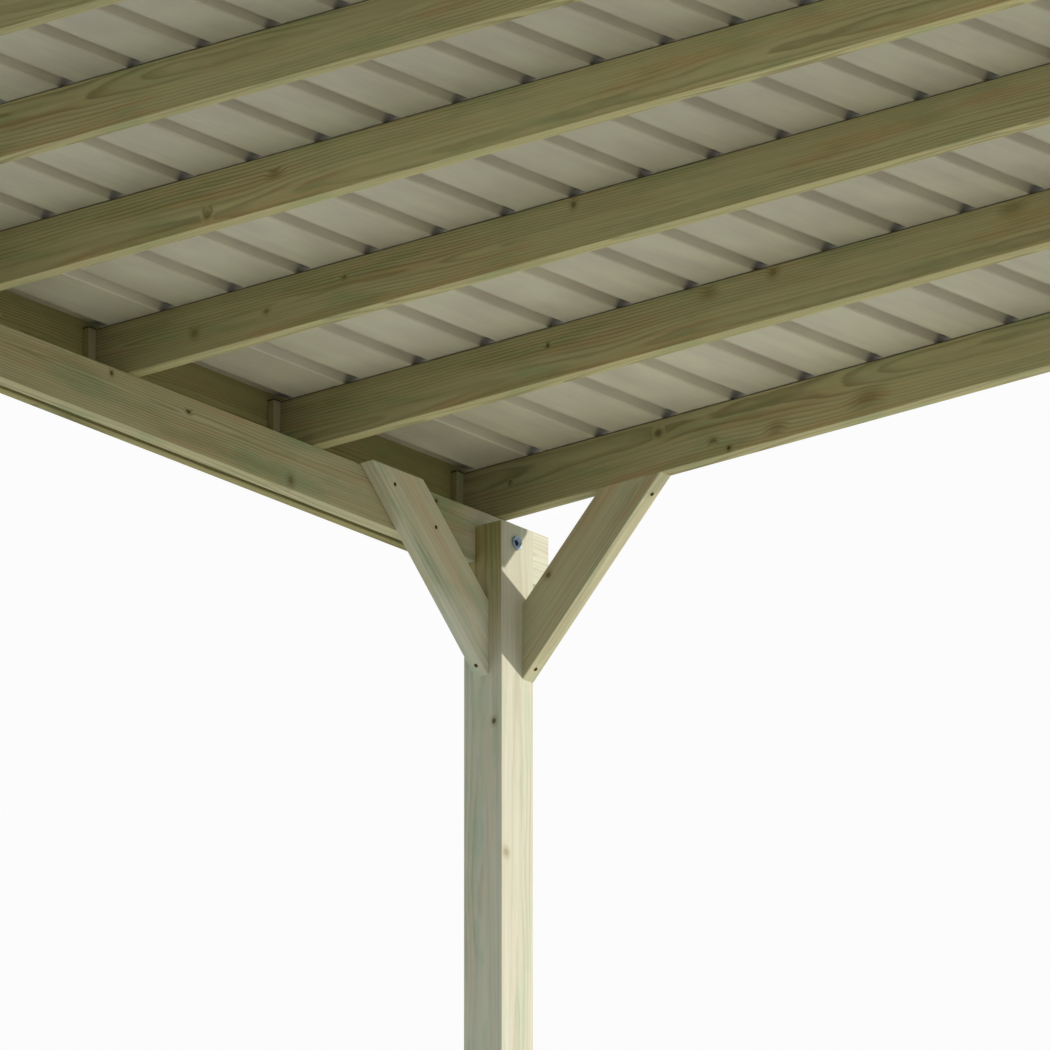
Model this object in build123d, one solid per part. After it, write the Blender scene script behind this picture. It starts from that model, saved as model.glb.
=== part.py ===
from build123d import *

import os
from math import hypot

# Timber carport for two cars: six notched posts carry two edge beams, eight
# purlins lie across the beams, and six ribbed steel sheets cover them.
# Millimetres. X runs across the roof, Y along it, Z up from the ground.

# Timber sections
POST = 115.0
BOARD_THICK = 40.0
BOARD_DEEP = 130.0
FASCIA_THICK = 25.0
FASCIA_DEEP = 250.0
ARRIS = 3.0

# Plan
INNER_WIDTH = 5815.0
PURLIN_SPACING = 660.0
PURLIN_COUNT = 8
BEAM_TAIL = 150.0
PURLIN_PAST_POST = 83.0
SHEET_PAST_PURLIN = 120.0

# Heights
BEAM_UNDERSIDE = 2100.0
POST_LAP = 85.0
FASCIA_PAST_PURLIN = 25.0

# Joints
NOTCH_DEEP = 35.0
BRACE_REACH = 417.0
BLOCK_ALONG = 25.0
BLOCK_ACROSS = 21.0

# Ribbed sheets: RIB_COUNT ribs to a sheet's cover width, and one more at its lap
SHEET_COUNT = 6
RIB_COUNT = 5
RIB_BASE = 56.0
RIB_CROWN = 28.0
RIB_HIGH = 19.0
SHEET_THICK = 1.5
LAP_PLAY = 0.3
SHEET_EDGE_PLAY = 2.5

# How far a cut runs past the timber that it leaves
CUT_PAST = 1.0

# Derived
beam_top = BEAM_UNDERSIDE + BOARD_DEEP
post_top = BEAM_UNDERSIDE + POST_LAP
purlin_top = beam_top + BOARD_DEEP
post_inner = INNER_WIDTH / 2
post_outer = post_inner + POST
beam_inner = post_outer - NOTCH_DEEP
beam_outer = beam_inner + BOARD_THICK
purlin_end = post_outer + PURLIN_PAST_POST
frame_end = (PURLIN_COUNT - 1) * PURLIN_SPACING / 2 + BOARD_THICK / 2
beam_end = frame_end + BEAM_TAIL
sheet_end = frame_end + SHEET_PAST_PURLIN
fascia_top = purlin_top + FASCIA_PAST_PURLIN
roof_half = purlin_end - SHEET_EDGE_PLAY
rib_pitch = (2 * roof_half - RIB_BASE) / (SHEET_COUNT * RIB_COUNT)
rib_run = (RIB_BASE - RIB_CROWN) / 2


def span(a, b):
    return min(a, b), max(a, b)


def timber(x, y, z, grain):
    """A planed length between two x, two y and two z, its long arrises eased."""
    (x0, x1), (y0, y1), (z0, z1) = span(*x), span(*y), span(*z)
    block = Pos(x0, y0, z0) * Box(x1 - x0, y1 - y0, z1 - z0, align=(Align.MIN, Align.MIN, Align.MIN))
    return fillet(block.edges().filter_by(grain), ARRIS)


def post(side, y_centre):
    """One post, its outer half cut away at the top for the beam."""
    stick = timber(
        (side * post_inner, side * post_outer),
        (y_centre - POST / 2, y_centre + POST / 2),
        (0, post_top),
        Axis.Z,
    )
    x0, x1 = span(side * beam_inner, side * (post_outer + CUT_PAST))
    notch = Pos(x0, y_centre - POST, BEAM_UNDERSIDE) * Box(
        x1 - x0, 2 * POST, POST_LAP + CUT_PAST, align=(Align.MIN, Align.MIN, Align.MIN)
    )
    return stick - notch


def brace(corners, thickness_dir):
    """A 45 degree board from its four corners, 40 mm thick along thickness_dir."""
    face = make_face(Polyline(*corners, close=True))
    board = extrude(face, amount=BOARD_THICK, dir=thickness_dir)
    run = Vector(*corners[3]) - Vector(*corners[0])
    return fillet(board.edges().filter_by(Axis((0, 0, 0), tuple(run))), ARRIS)


def beam_brace(side, y_face, way):
    """The brace from a post's face up the inner side of the beam."""
    x = side * beam_inner
    near = BRACE_REACH - BOARD_DEEP * 2**0.5
    corners = [
        (x, y_face, beam_top - BRACE_REACH),
        (x, y_face, beam_top - near),
        (x, y_face + way * near, beam_top),
        (x, y_face + way * BRACE_REACH, beam_top),
    ]
    return brace(corners, (-side, 0, 0))


def purlin_brace(side, end):
    """The brace from an end post's inner face to the purlin above it."""
    y = end * frame_end
    near = BRACE_REACH - BOARD_DEEP * 2**0.5
    x = side * post_inner
    corners = [
        (x, y, beam_top - BRACE_REACH),
        (x, y, beam_top - near),
        (x - side * near, y, beam_top),
        (x - side * BRACE_REACH, y, beam_top),
    ]
    return brace(corners, (0, -end, 0))


def raised(points, gap):
    """The open line through points moved up by gap, measured square to it."""
    lifted = []
    for (x0, z0), (x1, z1) in zip(points, points[1:]):
        length = hypot(x1 - x0, z1 - z0)
        dx, dz = -(z1 - z0) / length * gap, (x1 - x0) / length * gap
        lifted.append(((x0 + dx, z0 + dz), (x1 + dx, z1 + dz)))
    line = [lifted[0][0]]
    for ((ax, az), (bx, bz)), ((cx, cz), (ex, ez)) in zip(lifted, lifted[1:]):
        ux, uz = bx - ax, bz - az
        vx, vz = ex - cx, ez - cz
        k = ((cx - ax) * vz - (cz - az) * vx) / (ux * vz - uz * vx)
        line.append((ax + k * ux, az + k * uz))
    line.append(lifted[-1][1])
    return line


def rib(start):
    """The underside of one rib from its foot at start to its other foot."""
    return [
        (start, 0.0),
        (start + rib_run, RIB_HIGH),
        (start + rib_run + RIB_CROWN, RIB_HIGH),
        (start + RIB_BASE, 0.0),
    ]


def lapping_rib(start):
    """The underside of a rib that rides on the next sheet's first one, down to a lip past it."""
    lip = SHEET_THICK + LAP_PLAY
    (ax, az), (bx, bz), (cx, cz), (ex, ez) = raised(rib(start), lip)
    slope = RIB_HIGH / rib_run
    return [(bx - bz / slope, 0.0), (bx, bz), (cx, cz), (cx + (cz - lip) / slope, lip)]


def sheet(number):
    """One sheet of RIB_COUNT pitches, its last rib riding over the next sheet's first."""
    last_rib = (number + 1) * RIB_COUNT
    under = []
    for n in range(number * RIB_COUNT, last_rib + 1):
        start = n * rib_pitch - roof_half
        if n == last_rib and number < SHEET_COUNT - 1:
            under += lapping_rib(start)
        else:
            under += rib(start)
    ring = under + raised(under, SHEET_THICK)[::-1]
    face = make_face(Polyline(*[(x, 0, purlin_top + z) for x, z in ring], close=True))
    return extrude(face, amount=sheet_end, dir=(0, 1, 0), both=True)


def fascia_blocks(side):
    """Eight upright blocks, each in the corner of a purlin and the fascia."""
    blocks = []
    for n in range(PURLIN_COUNT):
        y = (n - (PURLIN_COUNT - 1) / 2) * PURLIN_SPACING
        inward = -1 if y > 0 else 1
        y_face = y + inward * BOARD_THICK / 2
        blocks.append(
            timber(
                (side * (purlin_end - BLOCK_ACROSS), side * purlin_end),
                (y_face, y_face + inward * BLOCK_ALONG),
                (beam_top, purlin_top),
                Axis.Z,
            )
        )
    return Compound(children=blocks)


parts = {}
sides = {"left": -1, "right": 1}
post_rows = {"front": -(frame_end - POST / 2), "middle": 0.0, "rear": frame_end - POST / 2}

for side_name, side in sides.items():
    for row_name, y in post_rows.items():
        parts[f"post_{row_name}_{side_name}"] = post(side, y)
    parts[f"beam_{side_name}"] = timber(
        (side * beam_inner, side * beam_outer), (-beam_end, beam_end), (BEAM_UNDERSIDE, beam_top), Axis.Y
    )
    faces = [
        ("front", post_rows["front"] + POST / 2, 1),
        ("middle_front", -POST / 2, -1),
        ("middle_rear", POST / 2, 1),
        ("rear", post_rows["rear"] - POST / 2, -1),
    ]
    for place, y_face, way in faces:
        parts[f"beam_brace_{place}_{side_name}"] = beam_brace(side, y_face, way)
    for end_name, end in (("front", -1), ("rear", 1)):
        parts[f"purlin_brace_{end_name}_{side_name}"] = purlin_brace(side, end)
    parts[f"fascia_{side_name}"] = timber(
        (side * purlin_end, side * (purlin_end + FASCIA_THICK)),
        (-sheet_end, sheet_end),
        (fascia_top - FASCIA_DEEP, fascia_top),
        Axis.Y,
    )
    parts[f"fascia_blocks_{side_name}"] = fascia_blocks(side)

for n in range(PURLIN_COUNT):
    y = (n - (PURLIN_COUNT - 1) / 2) * PURLIN_SPACING
    parts[f"purlin_{n + 1}"] = timber(
        (-purlin_end, purlin_end), (y - BOARD_THICK / 2, y + BOARD_THICK / 2), (beam_top, purlin_top), Axis.X
    )

for n in range(SHEET_COUNT):
    parts[f"roof_sheet_{n + 1}"] = sheet(n)

os.makedirs("parts", exist_ok=True)
for name, shape in parts.items():
    export_step(shape, f"parts/{name}.step")
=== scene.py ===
import math
import random

import bmesh
import bpy
from mathutils import Euler, Matrix, Vector


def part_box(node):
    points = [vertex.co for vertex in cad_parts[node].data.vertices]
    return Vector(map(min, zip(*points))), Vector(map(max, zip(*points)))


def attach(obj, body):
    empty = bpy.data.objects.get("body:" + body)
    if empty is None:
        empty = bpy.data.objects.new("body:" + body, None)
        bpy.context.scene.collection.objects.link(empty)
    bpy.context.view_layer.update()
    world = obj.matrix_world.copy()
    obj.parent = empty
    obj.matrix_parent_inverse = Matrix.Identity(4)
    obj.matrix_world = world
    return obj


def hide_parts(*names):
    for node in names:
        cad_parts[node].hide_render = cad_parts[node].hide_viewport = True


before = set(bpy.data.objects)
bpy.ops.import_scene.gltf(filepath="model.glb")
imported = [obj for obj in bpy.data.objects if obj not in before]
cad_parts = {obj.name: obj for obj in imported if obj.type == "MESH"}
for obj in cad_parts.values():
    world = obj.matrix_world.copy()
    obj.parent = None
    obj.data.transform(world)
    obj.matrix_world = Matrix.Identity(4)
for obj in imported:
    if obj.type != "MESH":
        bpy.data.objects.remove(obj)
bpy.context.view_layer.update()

# Main lines of the carport, in metres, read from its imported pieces
post_low, post_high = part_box("post_rear_right")
beam_low, beam_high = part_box("beam_right")
purlin_low, purlin_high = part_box("purlin_8")
fascia_low, fascia_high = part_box("fascia_right")
POST_IN, POST_NEAR, POST_FAR, POST_TOP = post_low.x, post_low.y, post_high.y, post_high.z
POST_MIDDLE = (POST_NEAR + POST_FAR) / 2
POST_WIDE = POST_FAR - POST_NEAR
POST_OUT = POST_IN + POST_WIDE
BEAM_IN, BEAM_OUT, BEAM_TOP = beam_low.x, beam_high.x, beam_high.z
BOARD = BEAM_OUT - BEAM_IN
PURLIN_TOP = purlin_high.z
PURLIN_SPACING = purlin_low.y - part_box("purlin_7")[0].y
PURLIN_COUNT = 8
PURLIN_LINES = [(n - (PURLIN_COUNT - 1) / 2) * PURLIN_SPACING for n in range(PURLIN_COUNT)]
BLOCK_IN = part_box("fascia_blocks_right")[0].x

# The bolts of the end posts sit a little nearer the middle of the carport than the posts' own middles
BOLT_HEIGHT = POST_TOP - 0.0435
BOLT_ALONG = POST_MIDDLE - 0.005

# Screws of a brace: how far out from its post, and how far down from the beam's top
BEAM_BRACE_SCREWS = ((0.337, 0.039), (0.189, 0.105))
BEAM_BRACE_FOOT_SCREW = (0.021, 0.396)
PURLIN_BRACE_SCREWS = ((0.024, 0.393), (0.376, 0.041))
# Screws of a fascia at each purlin: how far inward from the purlin's middle, and how high
FASCIA_SCREWS = ((0.0, 2.265), (0.0, 2.325), (0.0325, 2.25), (0.0325, 2.34))

# The sheets: from rib to rib, a rib's foot, how far its webs lean, how high its crown is
RIB_PITCH, RIB_BASE, RIB_RUN, RIB_HIGH = 0.205, 0.056, 0.014, 0.019
SHEET_THICK = 0.0015
PAN_COUNT = 30
# How far a trimmed sheet's crown stays off the fascia
TRIM_PLAY = 0.0002

# The wood's rings, wider than most real ones so that they show from this far, and how far they wander
RING_WIDE, SLOW_BEND, QUICK_BEND = 0.007, 0.05, 0.006
# Knots: a distance that counts as none near, in a knot's radii, the space between two, and the most
FAR_FROM_KNOTS, KNOT_SPACING, MOST_KNOTS = 9.0, 0.55, 8

# Half the floor's width
FLOOR_REACH = 900.0


def linear(code):
    """A linear colour from an sRGB hex value."""
    parts = [int(code[i : i + 2], 16) / 255 for i in (1, 3, 5)]
    return (*(c / 12.92 if c <= 0.04045 else ((c + 0.055) / 1.055) ** 2.4 for c in parts), 1.0)


def new_material(name):
    material = bpy.data.materials.new(name)
    material.use_nodes = True
    material.node_tree.nodes.clear()
    return material, material.node_tree


def add(tree, kind, settings=None, inputs=None):
    """Adds a node with its settings. An input takes a value, a socket or a node's first output."""
    node = tree.nodes.new("ShaderNode" + kind)
    for key, value in (settings or {}).items():
        setattr(node, key, value)
    for key, value in (inputs or {}).items():
        if isinstance(value, bpy.types.Node):
            value = value.outputs[0]
        if isinstance(value, bpy.types.NodeSocket):
            tree.links.new(value, node.inputs[key])
        else:
            node.inputs[key].default_value = value
    return node


def maths(tree, operation, *values):
    return add(tree, "Math", {"operation": operation}, dict(enumerate(values)))


def vectors(tree, operation, *values):
    return add(tree, "VectorMath", {"operation": operation}, dict(enumerate(values)))


def size_along(tree, vector, direction):
    """How far a vector goes along a direction or against it."""
    along = vectors(tree, "DOT_PRODUCT", vector, direction)
    return maths(tree, "ABSOLUTE", along.outputs["Value"])


def ramp(tree, value, start, full, low=0.0, high=1.0, shape="LINEAR"):
    """Goes from low, where value is at start, to high, where it is full."""
    return add(tree, "MapRange", {"interpolation_type": shape},
               {"Value": value, "From Min": start, "From Max": full, "To Min": low, "To Max": high})


def eased(tree, value, start, full, low=0.0, high=1.0):
    """A ramp that sets in and ends softly."""
    return ramp(tree, value, start, full, low, high, "SMOOTHSTEP")


def noise(tree, place, squeeze, detail=2.0):
    """Clouds a metre across, made smaller along each axis by a factor."""
    at = vectors(tree, "MULTIPLY", place, squeeze)
    return add(tree, "TexNoise", None, {"Vector": at, "Scale": 1.0, "Detail": detail})


def blend(tree, share, under, over, kind="MIX"):
    """Lays one colour over another: a Mix node's inputs 6 and 7. The result is its output 2."""
    mix = add(tree, "Mix", {"data_type": "RGBA", "blend_type": kind}, {0: share, 6: under, 7: over})
    return mix.outputs[2]


def scaled(tree, colour, factor):
    return add(tree, "VectorMath", {"operation": "SCALE"}, {0: colour, "Scale": factor})


def finish_material(tree, inputs):
    shader = add(tree, "BsdfPrincipled", None, inputs)
    add(tree, "OutputMaterial", None, {"Surface": shader})


def treated_pine(name, centre, turn, pith, tilt, knots, depth, look):
    """Pressure-treated pine, planed: olive-brown under the roof and bleached to a pale
    grey-cream where rain and sun reach, with fine darker latewood lines, faint green and
    reddish clouds and small brown knots. Dull to the eye. The grain runs along local X,
    which turn sets, pith is where the rings centre, and depth is the broad way of a board.
    look says how this kind of timber has weathered and where shade and light are painted on it, as told above
    PLAIN_LOOK."""
    material, tree = new_material(name)
    rotation = Euler(turn).to_matrix()
    grain = rotation @ Vector((1, 0, 0))
    place = add(tree, "TexCoord").outputs["Object"]
    local = add(tree, "Mapping", {"vector_type": "TEXTURE"},
                {"Vector": place, "Location": centre, "Rotation": turn})

    # How near the nearest knot is, in its own radii, and how dark the knots make this spot
    nearest, knot_stain = FAR_FROM_KNOTS, 0.0
    for knot_at, radius, stretch, darkness in knots:
        at = rotation.transposed() @ (Vector(knot_at) - Vector(centre))
        in_radii = vectors(tree, "MULTIPLY", vectors(tree, "SUBTRACT", local, at),
                           (1 / (radius * stretch), 1 / radius, 1 / radius))
        span = vectors(tree, "LENGTH", in_radii).outputs["Value"]
        nearest = maths(tree, "MINIMUM", nearest, span)
        knot_stain = maths(tree, "MAXIMUM", knot_stain, eased(tree, span, 0.55, 1.35, darkness, 0.0))

    # Growth rings round a pith that wanders, and that bend round the knots
    slow = noise(tree, local, (0.9, 3.0, 3.0)).outputs["Color"]
    bent = vectors(tree, "MULTIPLY_ADD", slow, (0.0, SLOW_BEND, SLOW_BEND), local)
    quick = noise(tree, local, (6.0, 30.0, 30.0)).outputs["Color"]
    bent = vectors(tree, "MULTIPLY_ADD", quick, (0.0, QUICK_BEND, QUICK_BEND), bent)
    mean_bend = (SLOW_BEND + QUICK_BEND) / 2
    about_pith = add(tree, "Mapping", {"vector_type": "TEXTURE"},
                     {"Vector": bent, "Location": (0.0, pith[0] + mean_bend, pith[1] + mean_bend),
                      "Rotation": (0.0, tilt[0], tilt[1])})
    across = vectors(tree, "MULTIPLY", about_pith, (0.0, 1.0, 1.0))
    rings = maths(tree, "DIVIDE", vectors(tree, "LENGTH", across).outputs["Value"], RING_WIDE)
    swell = ramp(tree, nearest, 0.0, 3.2, 1.1, 0.0, "SMOOTHERSTEP")
    season = maths(tree, "FRACT", maths(tree, "ADD", rings, swell))
    rise = eased(tree, season, 0.35, 0.85)
    fall = eased(tree, season, 0.87, 1.0, 1.0, 0.0)
    strength = ramp(tree, noise(tree, local, (1.2, 14.0, 14.0)), 0.36, 0.64, 0.15, 0.75)
    ring_line = maths(tree, "MULTIPLY", maths(tree, "MULTIPLY", rise, fall), strength)

    # Fibres 3 mm wide, coarser than real ones so that they show, and longer streaks
    fibre = noise(tree, local, (5.0, 330.0, 330.0))
    fibre_fade = ramp(tree, fibre, 0.3, 0.7, 0.95, 1.04)
    streak = noise(tree, local, (1.6, 90.0, 90.0), 3.0)
    streak_fade = ramp(tree, streak, 0.3, 0.7, 0.93 * look["tone"], 1.06 * look["tone"])
    shade = maths(tree, "MULTIPLY", fibre_fade, streak_fade)

    # Painted shade: darker towards the fascias and in the corners beside them, where the roof shades the wood
    away = add(tree, "SeparateXYZ", None, {0: vectors(tree, "ABSOLUTE", place)}).outputs
    painted_shade = eased(tree, away[0], POST_IN - 0.9, POST_IN + 0.1, 1.0, look["ends"])
    shade = maths(tree, "MULTIPLY", shade, painted_shade)
    painted_corner_shade = ramp(tree, away[0], BLOCK_IN - 0.11, BLOCK_IN, 1.0, look["corner"])
    shade = maths(tree, "MULTIPLY", shade, painted_corner_shade)

    # Green clouds of salt and reddish clouds of heartwood, a hand long. A board's edges have no heartwood
    normal = add(tree, "NewGeometry").outputs["Normal"]
    on_edge = size_along(tree, normal, depth)
    green = noise(tree, local, (4.0, 17.0, 17.0), 4.0)
    green.inputs["Roughness"].default_value = 0.6
    greening = eased(tree, green, 0.46, 0.70, 0.0, look["salt"])
    red = noise(tree, local, (2.6, 30.0, 30.0), 3.0)
    red.noise_dimensions = "4D"
    red.inputs["W"].default_value = 3.7
    reddening = eased(tree, red, 0.47, 0.68, 0.0, look["red"])
    reddening = maths(tree, "MULTIPLY", reddening, ramp(tree, on_edge, 0.6, 0.95, 1.0, 0.0))
    for axis, start, full, share in look["washed"]:
        kept = ramp(tree, away[axis], start, full, 1.0, 1.0 - share)
        greening = maths(tree, "MULTIPLY", greening, kept)
        reddening = maths(tree, "MULTIPLY", reddening, kept)

    # How far rain and sun have bleached this spot
    bleached = look["pale"]
    for axis, start, full, share in look["bleach"]:
        bleached = maths(tree, "MAXIMUM", bleached, eased(tree, away[axis], start, full, 0.0, share))

    sheltered = blend(tree, ring_line, linear("#A59C69"), linear("#74673A"))
    weathered = blend(tree, ring_line, linear("#C8C6B1"), linear("#B8B49C"))
    wood = blend(tree, bleached, sheltered, weathered)
    wood = blend(tree, greening, wood, linear("#DFF3EC"), "MULTIPLY")
    wood = blend(tree, reddening, wood, linear("#FFE7DC"), "MULTIPLY")
    wood = scaled(tree, wood, shade)

    # Knots: a stained halo round a dark body
    halo = eased(tree, nearest, 0.8, 3.0, 0.6, 0.0)
    wood = blend(tree, halo, wood, linear("#D6CBB4"), "MULTIPLY")
    wood = blend(tree, knot_stain, wood, linear("#3B3018"))

    # The narrow faces are lighter, as paler sapwood and as painted light on the undersides, and sawn ends
    # drink more of the salts
    wood = scaled(tree, wood, eased(tree, on_edge, 0.6, 0.95, 1.0, look["edge"]))
    end_grain = eased(tree, size_along(tree, normal, grain), 0.6, 0.95, 0.0, 0.45)
    wood = blend(tree, end_grain, wood, linear("#8B8358"))

    # Painted shade: a dark line in the crack under the sheets
    crack = eased(tree, away[2], PURLIN_TOP - 0.0045, PURLIN_TOP - 0.0025, 0.0, look["crack"])
    wood = blend(tree, crack, wood, linear("#2E2A18"))

    relief = maths(tree, "MULTIPLY_ADD", ring_line, 0.6, fibre)
    bump = add(tree, "Bump", None, {"Strength": 0.35, "Distance": 0.0007, "Height": relief})
    finish_material(tree, {"Base Color": wood, "Roughness": 0.75, "Specular IOR Level": 0.25, "Normal": bump})
    return material


# Grain directions: Euler turns that lay local X along a piece
ALONG_X = (0.0, 0.0, 0.0)
ALONG_Y = (0.0, 0.0, math.radians(90))
ALONG_Z = (0.0, math.radians(-90), 0.0)

# How each kind of timber has weathered. pale is how bleached it is all over and bleach where rain
# and sun bleach it more: an axis, how far out along it that starts and is full, and how much of it
# there is. salt is how green its clouds are and red how red, and washed where they fade, told the same
# way. tone is how light it is beside the others, edge how much lighter its narrow faces are, as paler
# sapwood and as painted light on the undersides, ends how light painted shade leaves it towards the
# fascias and corner in the corners beside them, and crack how dark the painted shade in the crack
# under the sheets is.
PLAIN_LOOK = {"pale": 0.0, "bleach": [], "salt": 0.5, "red": 0.3, "washed": [], "tone": 1.0, "edge": 1.0,
              "ends": 1.0, "corner": 1.0, "crack": 0.0}
# How deep a face's own weathering goes in
SKIN = 0.004
BEAM_LOOK = PLAIN_LOOK | {
    "pale": 0.25, "salt": 1.0, "red": 0.5, "tone": 1.02, "edge": 1.3,
    "washed": [(1, POST_NEAR, POST_FAR, 0.8)],
    "bleach": [(1, 1.30, 1.60, 0.34), (1, POST_NEAR - 0.20, POST_FAR, 1.0),
               (0, BEAM_OUT - SKIN, BEAM_OUT, 1.0)]}
POST_LOOK = PLAIN_LOOK | {
    "salt": 0.8, "red": 0.4,
    "washed": [(0, POST_IN + SKIN, POST_IN, 0.5)],
    "bleach": [(2, 2.15, 1.78, 1.0), (1, POST_NEAR + 0.002, POST_NEAR + 0.018, 1.0),
               (0, POST_IN + SKIN, POST_IN, 1.0), (0, POST_OUT - SKIN, POST_OUT, 1.0)]}
PURLIN_LOOK = PLAIN_LOOK | {"pale": 0.12, "salt": 0.8, "red": 0.7, "tone": 1.12, "edge": 1.3, "ends": 0.86,
                            "corner": 0.72, "crack": 0.85}
END_PURLIN_LOOK = PURLIN_LOOK | {"pale": 0.15, "edge": 1.2, "ends": 0.77}
BEAM_BRACE_LOOK = PLAIN_LOOK | {"pale": 0.65, "salt": 1.0, "red": 0.5, "tone": 1.17, "edge": 0.92,
                                "bleach": [(2, 2.10, 1.93, 1.0)]}
PURLIN_BRACE_LOOK = PLAIN_LOOK | {"pale": 0.45, "salt": 0.4, "red": 1.0, "tone": 1.13, "edge": 1.28,
                                  "bleach": [(2, 2.20, 1.45, 1.0)]}
FASCIA_LOOK = PLAIN_LOOK | {
    "salt": 0.7, "tone": 0.86, "edge": 1.3,
    "washed": [(0, fascia_high.x - SKIN, fascia_high.x, 0.5)],
    "bleach": [(0, fascia_high.x - SKIN, fascia_high.x, 1.0)]}
# The blocks' inner faces are bleached paler as painted light, lit from inside the carport
BLOCK_LOOK = PLAIN_LOOK | {"tone": 0.74, "crack": 0.85,
                           "bleach": [(0, BLOCK_IN + 0.0012, BLOCK_IN + 0.0004, 0.4)]}
# The purlins that the photo shows aren't equally light
PURLIN_TONES = {"purlin_8": 1.13, "purlin_7": 1.09, "purlin_6": 1.12, "purlin_5": 1.23}

# Knots that show: how far in from the left posts' inner faces, how far along the carport and how
# high, then radius, how much longer it is along the grain, and darkness
SEEN_KNOTS = {
    "beam_left": [((-0.080, 0.911, 2.214), 0.006, 0.9, 0.85), ((-0.080, 1.185, 2.193), 0.005, 1.6, 0.8),
                  ((-0.080, 1.551, 2.122), 0.010, 0.9, 0.35), ((-0.080, 2.074, 2.211), 0.005, 1.1, 0.85)],
    "post_rear_left": [((-0.023, 2.215, 1.696), 0.006, 1.2, 0.8), ((0.000, 2.232, 1.374), 0.007, 1.2, 0.25)],
    "purlin_brace_rear_left": [((0.079, 2.29, 2.051), 0.006, 1.2, 0.6)],
    "purlin_8": [((0.624, 2.29, 2.242), 0.005, 1.2, 0.85), ((0.577, 2.29, 2.270), 0.006, 1.6, 0.4),
                 ((0.766, 2.29, 2.260), 0.009, 2.0, 0.2), ((1.040, 2.29, 2.273), 0.012, 2.4, 0.2),
                 ((0.411, 2.29, 2.326), 0.008, 1.2, 0.35), ((-0.037, 2.29, 2.305), 0.004, 1.0, 0.5)],
    "purlin_7": [((0.629, 1.63, 2.314), 0.004, 1.3, 0.7), ((1.304, 1.63, 2.341), 0.009, 1.2, 0.35),
                 ((2.017, 1.63, 2.336), 0.010, 2.2, 0.15), ((1.112, 1.63, 2.335), 0.009, 1.8, 0.2)],
    "purlin_6": [((1.258, 0.97, 2.338), 0.008, 0.9, 0.55), ((0.572, 0.97, 2.318), 0.004, 1.5, 0.5),
                 ((0.120, 0.97, 2.282), 0.009, 1.0, 0.3), ((0.337, 0.97, 2.286), 0.005, 1.3, 0.4)],
    "purlin_5": [((0.719, 0.31, 2.258), 0.009, 1.0, 0.35), ((0.921, 0.31, 2.309), 0.007, 2.0, 0.2)],
}


def scattered_knots(low, high, axis, seed):
    """Knots for a piece whose own the photo doesn't show, one to every half metre or so."""
    chance = random.Random(seed)
    length = high[axis] - low[axis]
    count = max(1, int(length / KNOT_SPACING))
    knots = []
    for n in range(count):
        place = [chance.uniform(a, b) for a, b in zip(low, high)]
        place[axis] = low[axis] + (n + chance.uniform(0.2, 0.8)) * length / count
        radius, stretch = chance.uniform(0.004, 0.008), chance.uniform(0.9, 1.6)
        knots.append((tuple(place), radius, stretch, chance.uniform(0.3, 0.8)))
    return knots


def dress_timber():
    """Gives every timber piece a pine material of its own."""
    slopes = {"front": 1, "middle_front": -1, "middle_rear": 1, "rear": -1}
    for number, (name, piece) in enumerate(sorted(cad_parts.items())):
        if name.startswith("roof_sheet"):
            continue
        low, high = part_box(name)
        chance = random.Random(number)
        centre = tuple((low + high) / 2)
        pith = (chance.uniform(-0.03, 0.03), chance.choice((-1, 1)) * chance.uniform(0.02, 0.05))
        tilt = (chance.uniform(-0.012, 0.012), chance.uniform(-0.012, 0.012))
        axis, turn, depth, look = 1, ALONG_Y, (0, 0, 1), BEAM_LOOK
        if name.startswith("post"):
            axis, turn, depth, look = 2, ALONG_Z, (0, 0, 0), POST_LOOK
            pith = (chance.uniform(-0.03, 0.03), chance.uniform(-0.02, 0.02))
        elif name.startswith("purlin_brace"):
            lean = 135 if name.endswith("right") else 45
            axis, turn, look = 2, (0.0, math.radians(-lean), 0.0), PURLIN_BRACE_LOOK
            depth = tuple(Euler(turn).to_matrix() @ Vector((0, 0, 1)))
        elif name.startswith("purlin"):
            look = END_PURLIN_LOOK if name in ("purlin_1", "purlin_8") else PURLIN_LOOK
            axis, turn, look = 0, ALONG_X, look | {"tone": PURLIN_TONES.get(name, look["tone"])}
        elif name.startswith("beam_brace"):
            slope = slopes[name.removeprefix("beam_brace_").rsplit("_", 1)[0]]
            axis, turn, look = 2, (0.0, math.radians(-90 + 45 * slope), math.radians(90)), BEAM_BRACE_LOOK
            depth = tuple(Euler(turn).to_matrix() @ Vector((0, 0, 1)))
        elif name.startswith("fascia_blocks"):
            axis, turn, depth, look = 2, ALONG_Z, (0, 0, 0), BLOCK_LOOK
        elif name.startswith("fascia"):
            look = FASCIA_LOOK
        knots = [((across - POST_IN, along, up), *form)
                 for (across, along, up), *form in SEEN_KNOTS.get(name, [])]
        knots = (knots or scattered_knots(low, high, axis, number))[:MOST_KNOTS]
        material = treated_pine("treated_pine_" + name, centre, turn, pith, tilt, knots, depth, look)
        piece.data.materials.clear()
        piece.data.materials.append(material)


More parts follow.
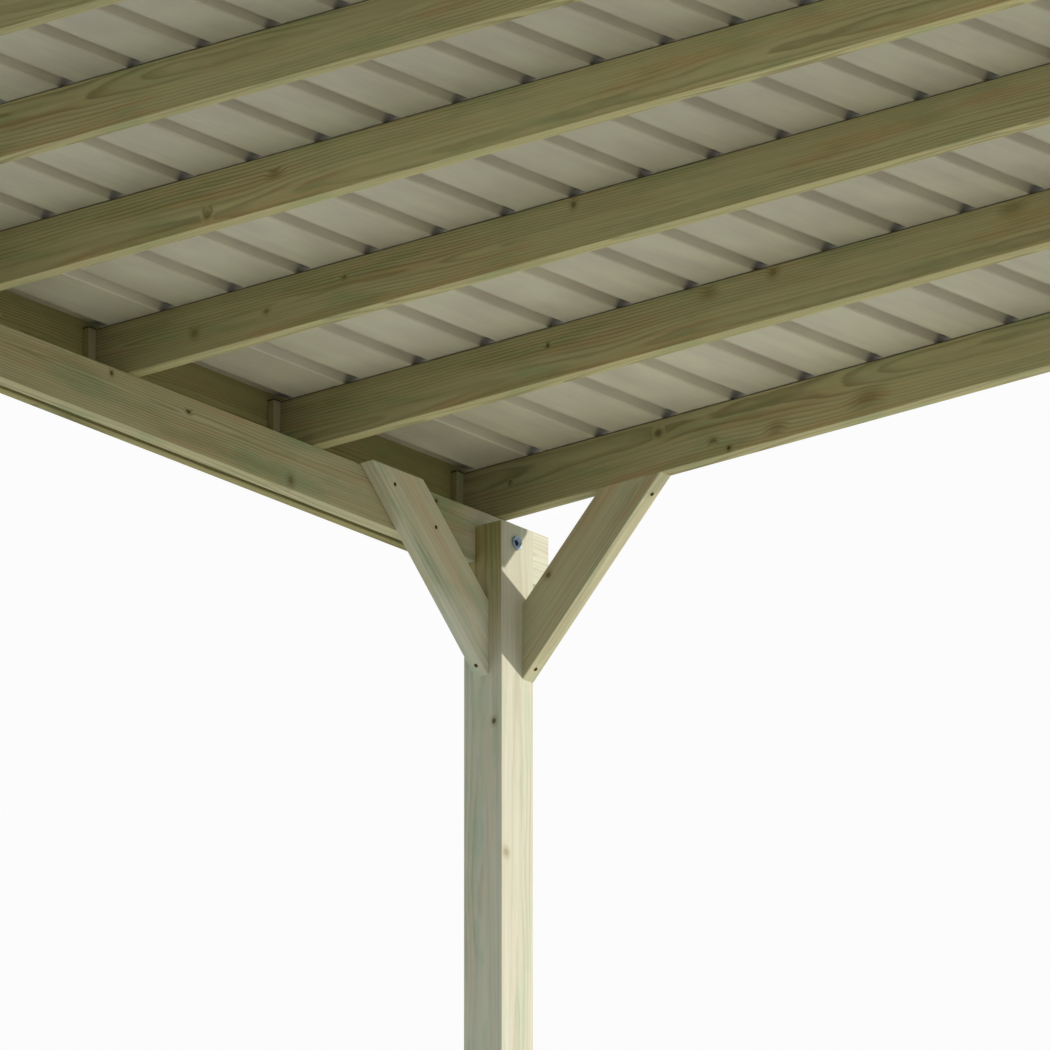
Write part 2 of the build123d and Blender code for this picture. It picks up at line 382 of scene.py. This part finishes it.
def coated_steel(name):
    """Coil-coated steel sheet: a thin beige-grey polyester coat, satin, with faint clouds.
    Painted shade darkens the ribs, the middle of the roof and the ribs' undersides over each purlin,
    and a painted highlight lightens the ribs' feet."""
    material, tree = new_material(name)
    place = add(tree, "TexCoord").outputs["Object"]
    rolled = noise(tree, place, (60.0, 1.1, 60.0))
    cloud = noise(tree, place, (12.0, 5.0, 12.0), 3.0)
    tone = ramp(tree, maths(tree, "MULTIPLY_ADD", rolled, 0.35, cloud), 0.5, 0.85)
    coat = blend(tree, tone, linear("#C9C3AD"), linear("#D6D2B7"))

    # How high above the pans this spot is tells the feet of the ribs from the ribs themselves
    across, along, up = add(tree, "SeparateXYZ", None, {0: place}).outputs
    # Painted shade on the ribs, which stand up from the pans
    rib_painted_shade = eased(tree, up, PURLIN_TOP + 0.0015, PURLIN_TOP + 0.0045)
    # A painted highlight along the ribs' feet
    above_pan = ramp(tree, up, PURLIN_TOP + 0.0001, PURLIN_TOP + 0.0005)
    painted_foot_highlight = ramp(tree, maths(tree, "SUBTRACT", above_pan, rib_painted_shade), 0.0, 1.0, 1.0, 1.04)
    coat = blend(tree, rib_painted_shade, coat, linear("#EBE8E8"), "MULTIPLY")

    # Painted shade in the ribs over the purlins, only on faces that look down
    bay = maths(tree, "FRACT", maths(tree, "DIVIDE", along, PURLIN_SPACING))
    from_purlin = maths(tree, "ABSOLUTE", maths(tree, "SUBTRACT", bay, 0.5))
    painted_purlin_shade = ramp(tree, from_purlin, 0.016 / PURLIN_SPACING, 0.030 / PURLIN_SPACING, 1.0, 0.0)
    painted_purlin_shade = maths(tree, "MULTIPLY", painted_purlin_shade, rib_painted_shade)
    facing = add(tree, "SeparateXYZ", None, {0: add(tree, "NewGeometry").outputs["Normal"]})
    beneath = ramp(tree, facing.outputs[2], -0.1, 0.1, 1.0, 0.0)
    painted_purlin_shade = maths(tree, "MULTIPLY", painted_purlin_shade, beneath)
    coat = blend(tree, painted_purlin_shade, coat, linear("#CDCED4"), "MULTIPLY")

    coat = scaled(tree, coat, painted_foot_highlight)
    # Painted shade: darker towards the middle of the roof
    painted_shade = eased(tree, maths(tree, "ABSOLUTE", across), POST_IN - 1.9, POST_IN - 0.5, 0.9, 1.0)
    coat = scaled(tree, coat, painted_shade)
    dull = ramp(tree, cloud, 0.3, 0.7, 0.38, 0.55)
    finish_material(tree, {"Base Color": coat, "Roughness": dull, "Specular IOR Level": 0.4})
    return material


def metal_plate(name, base, tone):
    """A thin metal coating on steel, satin with fine mottling."""
    material, tree = new_material(name)
    place = add(tree, "TexCoord").outputs["Object"]
    mottle = add(tree, "TexNoise", None, {"Vector": place, "Scale": 260.0, "Detail": 2.0})
    coat = blend(tree, mottle, linear(base), linear(tone))
    finish_material(tree, {"Base Color": coat, "Metallic": 1.0, "Roughness": 0.6})
    return material


def finish_piece(mesh_builder, name, material):
    """Makes an object at the origin from a bmesh, and lets it ride on the carport."""
    bmesh.ops.recalc_face_normals(mesh_builder, faces=mesh_builder.faces)
    mesh = bpy.data.meshes.new(name)
    mesh_builder.to_mesh(mesh)
    mesh_builder.free()
    mesh.materials.append(material)
    piece = bpy.data.objects.new(name, mesh)
    bpy.context.scene.collection.objects.link(piece)
    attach(piece, "root")
    return piece


def towards(direction):
    """A turn that lays local Z along a direction."""
    return Vector(direction).to_track_quat("Z", "Y").to_matrix().to_4x4()


def place_copies(shape, spots):
    """One bmesh with a copy of shape at each spot: a point and the way its Z faces."""
    mesh = bpy.data.meshes.new("shape")
    shape.to_mesh(mesh)
    shape.free()
    joined = bmesh.new()
    for point, direction in spots:
        copied = mesh.copy()
        copied.transform(Matrix.Translation(Vector(point)) @ towards(direction))
        joined.from_mesh(copied)
        bpy.data.meshes.remove(copied)
    bpy.data.meshes.remove(mesh)
    return joined


def turned(profile, sides):
    """A closed shape turned about Z from its profile of (radius, height) pairs."""
    shape = bmesh.new()
    points = [shape.verts.new((radius, 0.0, height)) for radius, height in profile]
    edges = [shape.edges.new(pair) for pair in zip(points, points[1:])]
    bmesh.ops.spin(shape, geom=points + edges, cent=(0, 0, 0), axis=(0, 0, 1),
                   angle=math.radians(360), steps=sides, use_merge=True)
    bmesh.ops.remove_doubles(shape, verts=shape.verts, dist=1e-6)
    return shape


def hexagon(across_flats, height, base):
    """A hexagonal nut or head standing on base, its outer corners chamfered."""
    shape = bmesh.new()
    corner = across_flats / math.sqrt(3)
    made = bmesh.ops.create_cone(shape, cap_ends=True, segments=6, depth=height,
                                 radius1=corner, radius2=corner)
    bmesh.ops.translate(shape, verts=made["verts"], vec=(0, 0, base + height / 2))
    top = [e for e in shape.edges if all(v.co.z > base + height * 0.9 for v in e.verts)]
    bmesh.ops.bevel(shape, geom=top, offset=height * 0.12, offset_type="OFFSET", segments=2,
                    profile=0.5, affect="EDGES", material=-1, clamp_overlap=True)
    return shape


def joined_shapes(*shapes):
    """Several bmeshes in one."""
    whole = bmesh.new()
    for shape in shapes:
        mesh = bpy.data.meshes.new("part")
        shape.to_mesh(mesh)
        shape.free()
        whole.from_mesh(mesh)
        bpy.data.meshes.remove(mesh)
    return whole


def post_bolts():
    """A bolt through each post and its beam: a dished rosette with a sunk socket head on
    the inner face, and a washer and nut on the outer one."""
    inner, outer = [], []
    for side in (-1, 1):
        for y in (-BOLT_ALONG, 0.0, BOLT_ALONG):
            inner.append(((side * POST_IN, y, BOLT_HEIGHT), (-side, 0, 0)))
            outer.append(((side * BEAM_OUT, y, BOLT_HEIGHT), (side, 0, 0)))
    rosette = [(0.0070, 0.0), (0.0155, 0.0), (0.0161, 0.0010), (0.0161, 0.0044), (0.0156, 0.0058),
               (0.0143, 0.0064), (0.0128, 0.0058), (0.0098, 0.0024), (0.0072, 0.0010)]
    socket_head = [(0.0, 0.0), (0.0072, 0.0), (0.0072, 0.0010), (0.0062, 0.0018), (0.0036, 0.0018),
                   (0.0030, 0.0006), (0.0, 0.0006)]
    washer = [(0.0066, 0.0), (0.0180, 0.0), (0.0185, 0.0006), (0.0185, 0.0020), (0.0180, 0.0025),
              (0.0066, 0.0025)]
    bolt_end = [(0.0, 0.0), (0.0058, 0.0), (0.0058, 0.0150), (0.0050, 0.0160), (0.0, 0.0160)]
    zinc = metal_plate("blue_passivated_zinc", "#8CA3BE", "#B0BFCC")
    # Dark zinc heads, made this dark as painted shade of the dish's hollow they sit in
    dark = metal_plate("socket_heads_painted_shade_dark", "#1A2A42", "#2C405C")
    finish_piece(place_copies(turned(rosette, 48), inner), "post_bolt_rosettes", zinc)
    finish_piece(place_copies(turned(socket_head, 24), inner), "post_bolt_heads", dark)
    nut = joined_shapes(turned(washer, 40), hexagon(0.019, 0.0105, 0.0025), turned(bolt_end, 24))
    finish_piece(place_copies(nut, outer), "post_bolt_nuts", zinc)


def timber_screws():
    """Countersunk screws with a round recess in the braces and the fascias."""
    spots = []
    for side in (-1, 1):
        for y_face, way in ((-POST_NEAR, 1), (-POST_WIDE / 2, -1), (POST_WIDE / 2, 1), (POST_NEAR, -1)):
            for out, down in BEAM_BRACE_SCREWS:
                spots.append(((side * (BEAM_IN - BOARD), y_face + way * out, BEAM_TOP - down), (-side, 0, 0)))
            out, down = BEAM_BRACE_FOOT_SCREW
            spots.append(((side * (BEAM_IN - BOARD / 2), y_face + way * out, BEAM_TOP - down), (0, way, -1)))
        for y in (BOARD / 2 - POST_FAR, POST_FAR - BOARD / 2):
            for out, down in PURLIN_BRACE_SCREWS:
                spots.append(((side * (POST_IN - out), y, BEAM_TOP - down), (-side, 0, -1)))
        for y in PURLIN_LINES:
            inward = -1 if y > 0 else 1
            for step, height in FASCIA_SCREWS:
                spots.append(((side * fascia_high.x, y + inward * step, height), (side, 0, 0)))
    head = [(0.0, 0.0001), (0.0018, 0.0001), (0.0020, 0.0004), (0.0044, 0.0005), (0.0050, 0.0002),
            (0.0050, -0.0010), (0.0030, -0.0030), (0.0, -0.0030)]
    bronze = metal_plate("bronze_coated_screws", "#4A4126", "#5E5433")
    finish_piece(place_copies(turned(head, 18), spots), "timber_screws", bronze)


def roof_screws():
    """Self-drilling screws with sealing washers, one in each pan over each purlin."""
    first_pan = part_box("roof_sheet_1")[0].x + (RIB_PITCH + RIB_BASE) / 2
    spots = [((first_pan + pan * RIB_PITCH, y, PURLIN_TOP + SHEET_THICK), (0, 0, 1))
             for pan in range(PAN_COUNT) for y in PURLIN_LINES]
    washer = [(0.0, 0.0), (0.0070, 0.0), (0.0075, 0.0006), (0.0070, 0.0018), (0.0, 0.0024)]
    screw = joined_shapes(turned(washer, 16), hexagon(0.008, 0.0042, 0.0018))
    finish_piece(place_copies(screw, spots), "roof_screws", coated_steel("painted_screw_heads"))


def trimmed_sheet(name, side, coat):
    """The sheet beside a fascia. Its outer rib has no outer web: the crown runs on level
    to the fascia, so that the board shows right up to it from beneath."""
    build = bmesh.new()
    build.from_mesh(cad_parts[name].data)
    bmesh.ops.remove_doubles(build, verts=build.verts, dist=1e-5)
    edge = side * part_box(name)[1 if side > 0 else 0].x
    foot = [v for v in build.verts if edge - side * v.co.x < RIB_RUN / 2]
    to_fascia = fascia_low.x - edge - TRIM_PLAY
    bmesh.ops.translate(build, verts=foot, vec=(side * to_fascia, 0, RIB_HIGH))
    piece = finish_piece(build, "trimmed_" + name, coat)
    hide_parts(name)


def pale_floor():
    """A plain pale floor that is solid from above and open from beneath, because the
    photo's viewing angle lies below it."""
    build = bmesh.new()
    bmesh.ops.create_grid(build, x_segments=1, y_segments=1, size=FLOOR_REACH)
    mesh = bpy.data.meshes.new("floor")
    build.to_mesh(mesh)
    build.free()
    floor = bpy.data.objects.new("floor", mesh)
    bpy.context.scene.collection.objects.link(floor)
    material, tree = new_material("pale_floor")
    pale = add(tree, "BsdfDiffuse", None, {"Color": linear("#CDCBC5")})
    clear = add(tree, "BsdfTransparent")
    from_beneath = add(tree, "NewGeometry").outputs["Backfacing"]
    seen = add(tree, "MixShader", None, {0: from_beneath, 1: pale, 2: clear})
    add(tree, "OutputMaterial", None, {"Surface": seen})
    mesh.materials.append(material)


def white_surroundings():
    """White behind the object, and an even soft light on it."""
    world = bpy.data.worlds.new("surroundings")
    bpy.context.scene.world = world
    world.use_nodes = True
    tree = world.node_tree
    tree.nodes.clear()
    path = add(tree, "LightPath").outputs
    mirrored = maths(tree, "MAXIMUM", path["Is Glossy Ray"], path["Is Transmission Ray"])
    shown = maths(tree, "MAXIMUM", path["Is Camera Ray"], mirrored)
    backdrop = add(tree, "Background", None, {"Color": linear("#FCFCFC"), "Strength": 1.0})
    fill = add(tree, "Background", None, {"Color": linear("#EAF6FF"), "Strength": 0.86})
    light = add(tree, "MixShader", None, {0: shown, 1: fill, 2: backdrop})
    add(tree, "OutputWorld", None, {"Surface": light})


def key_light():
    """A low sun from the right and a little from the rear."""
    lamp = bpy.data.lights.new("key", "SUN")
    lamp.energy = 3.25
    lamp.angle = math.radians(0.9)
    lamp.color = linear("#FFF8F2")[:3]
    key = bpy.data.objects.new("key", lamp)
    key.matrix_world = towards((0.753, 0.401, 0.521))
    bpy.context.scene.collection.objects.link(key)


def camera():
    """Looks up at the rear left corner from under the roof, through a very long lens."""
    data = bpy.data.cameras.new("camera")
    data.sensor_width = 36.0
    data.lens = 1600.0
    data.clip_start, data.clip_end = 1.0, 1000.0
    azimuth, rise = math.radians(39.932), math.radians(19.089)
    level = math.cos(rise)
    forward = Vector((-math.sin(azimuth) * level, math.cos(azimuth) * level, math.sin(rise)))
    right = Vector((math.cos(azimuth), math.sin(azimuth), 0.0))
    up = right.cross(forward)
    # From the top corner of the post to the middle of the picture, and how much the picture spans there
    to_right, down, frame_wide = 0.0544, 0.0126, 2.440
    aim = Vector((-POST_IN, POST_NEAR, POST_TOP)) + right * to_right - up * down
    eye = bpy.data.objects.new("camera", data)
    eye.location = aim - forward * frame_wide * data.lens / data.sensor_width
    eye.rotation_euler = forward.to_track_quat("-Z", "Y").to_euler()
    bpy.context.scene.collection.objects.link(eye)
    bpy.context.scene.camera = eye


dress_timber()
sheet_coat = coated_steel("coil_coated_steel")
for name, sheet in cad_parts.items():
    if name.startswith("roof_sheet"):
        sheet.data.materials.clear()
        sheet.data.materials.append(sheet_coat)
trimmed_sheet("roof_sheet_1", -1, sheet_coat)
trimmed_sheet("roof_sheet_6", 1, sheet_coat)
post_bolts()
timber_screws()
roof_screws()

pale_floor()
white_surroundings()
key_light()
camera()
bpy.context.scene.view_settings.view_transform = "Standard"
